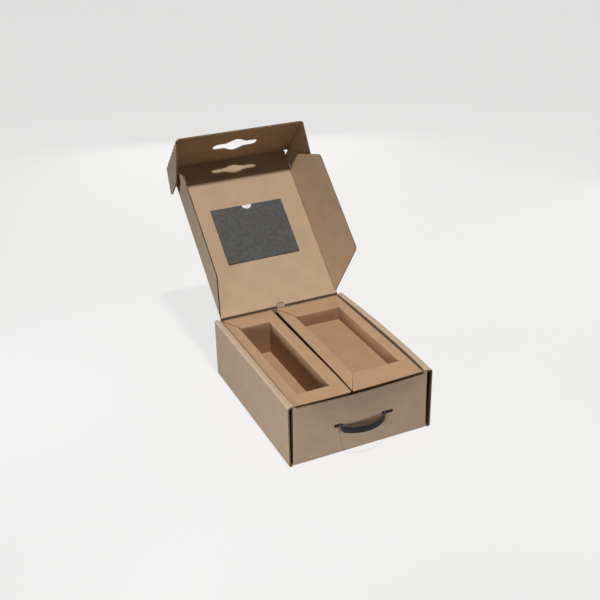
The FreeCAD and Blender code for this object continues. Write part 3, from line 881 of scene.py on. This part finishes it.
# widths of the left, right, front and back rims, and the height of the well's floor
BOTTLE_RIMS, BOTTLE_FLOOR = (23.3, 28.4, 37.4, 43.9), 58
GOODS_RIMS, GOODS_FLOOR = (29.6, 23.6, 58.2, 54.7), 105
FRONT_SHORT, BACK_LONG, BOTTLE_BACK_LONG = 1.5, 1.5, 7      # rims short of their CAD node, and past it
GOODS_RIGHT_LONG = 1.2


def window(low, high, rims):
    """The left, right, front and back edges of the opening that rims of these widths leave."""
    left, right, front, back = rims
    return low.x + left, high.x - right, low.y + front, high.y - back


def insert(name, node, outside, inside, floor, open_corners, facing):
    """A folded insert: four rims with their outer and well walls, mitred at the corners, and the well's
    floor. Outside and inside are the rims' (left, right, front, back) edges, open corners are those whose
    mitre stands open, and facing is where the side that meets the other insert stands."""
    mesh, _ = new_mesh()
    rim = HINGE.z - BOARD - INSERT_SPARE
    left, right, front, back = outside
    w_left, w_right, w_front, w_back = inside
    half = HALF_BOARD
    gap = {corner: open_corners.get(corner, CLOSED_GAP) / 2
           for corner in ("front_left", "front_right", "back_left", "back_right")}
    rims = [
        (True, left, w_left, front, back, w_front, w_back, "front_left", "back_left"),
        (True, right, w_right, front, back, w_front, w_back, "front_right", "back_right"),
        (False, front, w_front, left, right, w_left, w_right, "front_left", "front_right"),
        (False, back, w_back, left, right, w_left, w_right, "back_left", "back_right"),
    ]
    for lengthways, outer, inner, low, high, w_low, w_high, low_corner, high_corner in rims:
        sign = 1 if inner > outer else -1
        a, b = outer + half * sign, inner - half * sign
        recess = a + WALL_RECESS * sign
        corners = [(recess, half + BOARD), (recess, rim - WALL_RECESS * 2), (a, rim), (b, rim),
                   (b, floor - half)]
        section = rounded(corners, [0, FOLD_RADIUS, RIM_FOLD, WELL_FOLD, 0], closed=False)
        ends = []
        for along, _ in section:
            share = limited((along - outer) / (inner - outer))
            ends.append((low + (w_low - low) * share + gap[low_corner],
                         high + (w_high - high) * share - gap[high_corner]))
        strip, sheet = new_mesh()
        solid_board(strip, sheet, section, ends, 6, outer_left=sign > 0)
        joined(mesh, strip, axes(X, Z, Y) if lengthways else axes(Y, Z, X))
    base, sheet = new_mesh()
    outline = [(w_left, w_front), (w_right, w_front), (w_right, w_back), (w_left, w_back)]
    slab(base, sheet, outline, [], floor - BOARD, floor, (INNER, OUTER, CUT))
    joined(mesh, base)
    for vert in mesh.verts:
        if vert.co.y < front + WALL_RECESS + BOARD * 2:
            rise = max(0.0, vert.co.z) / HEIGHT
            vert.co.y -= INSERT_BOW * max(0.0, 1 - (vert.co.x / WALL_HALF) ** 2) * rise ** 2
            vert.co.z -= INSERT_DROP * rise ** 2
        forward = limited((GAP_START - vert.co.y) / (GAP_START + HALF_DEPTH))
        if abs(vert.co.x - facing) < BOARD * 2:
            vert.co.x += GAP_CLOSE * forward * (1 if facing == right else -1)
    bmesh.ops.recalc_face_normals(mesh, faces=mesh.faces)
    piece = finished(mesh, name, INSERT)
    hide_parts(node)
    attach(piece, "tray")


def inserts():
    low, high = node_box("bottle_insert")
    outside = (INSERT_SPARE - INNER_FACE, high.x, low.y + FRONT_SHORT, high.y + BOTTLE_BACK_LONG)
    insert("bottle_insert_board", "bottle_insert", outside, window(low, high, BOTTLE_RIMS), BOTTLE_FLOOR,
           {"back_left": OPEN_GAP}, facing=high.x)
    low, high = node_box("goods_insert")
    outside = (low.x, high.x + GOODS_RIGHT_LONG, low.y + FRONT_SHORT, high.y + BACK_LONG)
    insert("goods_insert_board", "goods_insert", outside, window(low, high, GOODS_RIMS), GOODS_FLOOR,
           {"back_left": OPEN_GAP, "front_left": FAINT_GAP}, facing=low.x)


# ---- strap handle ----

GRIP_HALF, GRIP_REACH, GRIP_TALL, GRIP_THICK = 52, 25, 17, 2.2
GRIP_END, GRIP_STATIONS = 7.0, 44   # the length over which the strap narrows to its necks
NECK_HALF, NECK_FRONT = 1.6, -HALF_DEPTH - BOARD - 1.2
HOOK_RADIUS, HOOK_LAP = 1.2, 12
HOOK_Y = -HALF_DEPTH + HALF_BOARD + 3.8
TAB_SPARE, TAB_FRONT = 3.2, -HALF_DEPTH + 0.4
# the strap's section, in shares of half its thickness and half its height, with a raised rim on both edges
STRAP_SECTION = ((-1, -0.72), (-0.72, -0.94), (0, -1), (0.75, -0.94), (1, -0.8), (0.62, -0.62), (0.72, 0),
                 (0.62, 0.62), (1, 0.8), (0.75, 0.94), (0, 1), (-0.72, 0.94), (-1, 0.72), (-0.8, 0))
AROUND = [math.tau * k / 12 for k in range(12)]


def grip():
    """The rings of the strap, which bows out from the wall in an arc."""
    sag = GRIP_REACH - BOARD
    radius = (GRIP_HALF ** 2 + sag ** 2) / (sag * 2)
    centre_y = -HALF_DEPTH - GRIP_REACH + radius
    limit = math.asin(GRIP_HALF / radius)
    rings = []
    for i in range(GRIP_STATIONS + 1):
        angle = -limit + limit * 2 * i / GRIP_STATIONS
        across = radius * math.sin(angle)
        close = max(0.0, (abs(across) - (GRIP_HALF - GRIP_END)) / GRIP_END)
        half = NECK_HALF + (GRIP_TALL / 2 - NECK_HALF) * math.sqrt(max(0.0, 1 - close ** 2.2))
        outward = Vector((math.sin(angle), -math.cos(angle), 0))
        spine = Vector((across, centre_y - radius * math.cos(angle), SLOT_LEVEL + NECK_HALF - half))
        ring = []
        for depth, rise in STRAP_SECTION:
            spot = spine + outward * ((depth - 1) * GRIP_THICK / 2) + Z * (rise * half)
            ring.append((spot, (across, rise * half)))
        rings.append(ring)
    return rings


def neck(sign):
    """The rings of the round-cornered bar that leads from the strap in through its slot."""
    stations = ((NECK_FRONT, 4.6), (-HALF_DEPTH - 1, 5.6), (-HALF_DEPTH + BOARD, 5.8), (HOOK_Y + 0.6, 5.8))
    rings = []
    for y, wide in stations:
        ring = []
        for turn in AROUND:
            out, up = (math.copysign(abs(part) ** 0.5, part) for part in (math.cos(turn), math.sin(turn)))
            spot = (sign * GRIP_HALF + out * wide / 2, y, SLOT_LEVEL + up * NECK_HALF)
            ring.append((spot, (y, out)))
        rings.append(ring)
    return rings


def slot_tab(sign, slot_end):
    """The rings of the thin tab that fills the slot beside the neck."""
    end = slot_end - TAB_SPARE
    rings = []
    for across, tall in ((GRIP_HALF, 0.9), (end - 2, 1), (end, 0.7)):
        ring = []
        for y, rise in ((TAB_FRONT, -1), (HOOK_Y, -1), (HOOK_Y, 1), (TAB_FRONT, 1)):
            spot = (sign * across, y, SLOT_LEVEL + rise * NECK_HALF * tall)
            ring.append((spot, (across, y * rise)))
        rings.append(ring)
    return rings


def hook(sign, slot_end):
    """The rings of the bar behind the wall that laps the slot's end."""
    far = slot_end + HOOK_LAP
    rings = []
    for across, size in ((GRIP_HALF - 3, 0.7), (GRIP_HALF - 2, 1), (far - 0.8, 1), (far, 0.6)):
        ring = []
        for k, turn in enumerate(AROUND):
            spot = (sign * across, HOOK_Y + HOOK_RADIUS * size * math.cos(turn),
                    SLOT_LEVEL + HOOK_RADIUS * size * math.sin(turn))
            ring.append((spot, (across, k)))
        rings.append(ring)
    return rings


def handle():
    mesh, sheet = new_mesh()
    bars = [grip()]
    for sign, slot_end in ((-1, -SLOT_LEFT), (1, SLOT_RIGHT)):
        bars += [neck(sign), slot_tab(sign, slot_end), hook(sign, slot_end)]
    for rings in bars:
        stitch(mesh, sheet, [[(mesh.verts.new(spot), place) for spot, place in ring] for ring in rings], 0)
    bow = FRONT_BOW * (1 - (GRIP_HALF / WALL_HALF) ** 2) * (SLOT_LEVEL / HEIGHT) ** FRONT_BEND
    for vert in mesh.verts:
        vert.co.y -= bow
    bmesh.ops.recalc_face_normals(mesh, faces=mesh.faces)
    for face in mesh.faces:
        face.smooth = True
    piece = finished(mesh, "strap_handle", [PLASTIC])
    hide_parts("carry_handle")
    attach(piece, "handle")


def pocket_and_card():
    """The lid's paper pocket and its card keep their CAD shapes."""
    for node, material in (("card_pocket", POCKET), ("card", CARD)):
        data = frame["nodes"][node].data
        data.materials.clear()
        data.materials.append(material)


for part in (tray, lid, wings, front_flap, ears, inserts, handle, pocket_and_card):
    part()

# ---- floor, light and camera ----

# This part is in metres.
FLOOR_HALF = 20
COOL, COOLER = (0.97, 0.99, 1.02), (0.95, 0.99, 1.04)


def stage():
    data = bpy.data.meshes.new("floor")
    corners = [(-FLOOR_HALF, -FLOOR_HALF, 0), (FLOOR_HALF, -FLOOR_HALF, 0),
               (FLOOR_HALF, FLOOR_HALF, 0), (-FLOOR_HALF, FLOOR_HALF, 0)]
    data.from_pydata(corners, [], [(0, 1, 2, 3)])
    floor = bpy.data.objects.new("floor", data)
    bpy.context.scene.collection.objects.link(floor)
    material = bpy.data.materials.new("floor")
    material.use_nodes = True
    nodes, links = material.node_tree.nodes, material.node_tree.links
    nodes.clear()
    seen, bounced = nodes.new("ShaderNodeBsdfDiffuse"), nodes.new("ShaderNodeBsdfDiffuse")
    seen.inputs["Color"].default_value = (0.14, 0.138, 0.136, 1)
    bounced.inputs["Color"].default_value = (0.14, 0.12, 0.11, 1)
    glow = nodes.new("ShaderNodeEmission")
    glow.inputs["Color"].default_value = (0.73, 0.725, 0.72, 1)
    pale = nodes.new("ShaderNodeAddShader")
    links.new(seen.outputs[0], pale.inputs[0])
    links.new(glow.outputs[0], pale.inputs[1])
    mix = nodes.new("ShaderNodeMixShader")
    links.new(nodes.new("ShaderNodeLightPath").outputs["Is Camera Ray"], mix.inputs[0])
    links.new(bounced.outputs[0], mix.inputs[1])
    links.new(pale.outputs[0], mix.inputs[2])
    links.new(mix.outputs[0], nodes.new("ShaderNodeOutputMaterial").inputs["Surface"])
    data.materials.append(material)


def area_light(name, place, aim, size, level, colour=(1, 1, 1), spread=180):
    """A soft box that lights a surface facing it at its aim at the given level, 1 being the written colour.
    A grid narrows its spread."""
    data = bpy.data.lights.new(name, "AREA")
    data.size = size
    data.color = colour
    data.spread = math.radians(spread)
    away = Vector(place) - Vector(aim)
    half = math.radians(spread) / 2
    gathered = 1 if spread == 180 else (math.tan(half) - half) / math.tan(half) * 2 / math.pi
    data.energy = level * math.pi ** 2 * away.length_squared * gathered
    light = bpy.data.objects.new(name, data)
    light.location = place
    light.rotation_euler = away.to_track_quat("Z", "Y").to_euler()
    light.visible_camera = False
    bpy.context.scene.collection.objects.link(light)


def world(level, seen=0.85):
    """Even light from all around, at one level on the object and another where the camera sees it."""
    surroundings = bpy.data.worlds.new("studio")
    surroundings.use_nodes = True
    nodes, links = surroundings.node_tree.nodes, surroundings.node_tree.links
    background = nodes["Background"]
    background.inputs["Color"].default_value = (0.93, 0.93, 0.92, 1)
    rays = nodes.new("ShaderNodeLightPath")
    strength = nodes.new("ShaderNodeMapRange")
    strength.inputs["To Min"].default_value = level
    strength.inputs["To Max"].default_value = seen
    links.new(rays.outputs["Is Camera Ray"], strength.inputs["Value"])
    links.new(strength.outputs["Result"], background.inputs["Strength"])
    bpy.context.scene.world = surroundings


def camera():
    """The view from the front left, above the open lid."""
    forward = Vector((0.3704, 0.8132, -0.4489)).normalized()
    right = Vector((0.9060, -0.4228, -0.0184))
    right = (right - forward * right.dot(forward)).normalized()
    up = right.cross(forward)
    data = bpy.data.cameras.new("camera")
    data.lens, data.sensor_width = 55.98, 36
    data.clip_end = 100
    view = bpy.data.objects.new("camera", data)
    matrix = Matrix((right, up, -forward)).transposed().to_4x4()
    matrix.translation = Vector((-0.7717, -1.6040, 1.1426))
    view.matrix_world = matrix
    bpy.context.scene.collection.objects.link(view)
    bpy.context.scene.camera = view


stage()
world(0.055)
area_light("key", (-0.17, -0.59, 3.03), (0, 0.2, 0.3), 0.16, 0.94)
area_light("front_fill", (-0.98, -0.82, 0.24), (-0.06, -0.10, -0.02), 0.35, 1.1, COOL, spread=50)
area_light("corner_fill", (0.75, -1.05, 0.20), (0.08, -0.2, 0.02), 0.3, 0.70, spread=48)
area_light("left_fill", (-1.05, 0.45, 0.30), (-0.16, 0.1, 0.16), 0.35, 1.0, COOLER, spread=110)
area_light("back_fill", (0.5, 1.8, 0.7), (0, 0.25, 0.25), 1.2, 0.40)
area_light("right_fill", (1.7, 0.2, 0.3), (0.17, 0, 0.1), 1.0, 0.35)
camera()
bpy.context.scene.view_settings.view_transform = "Standard"
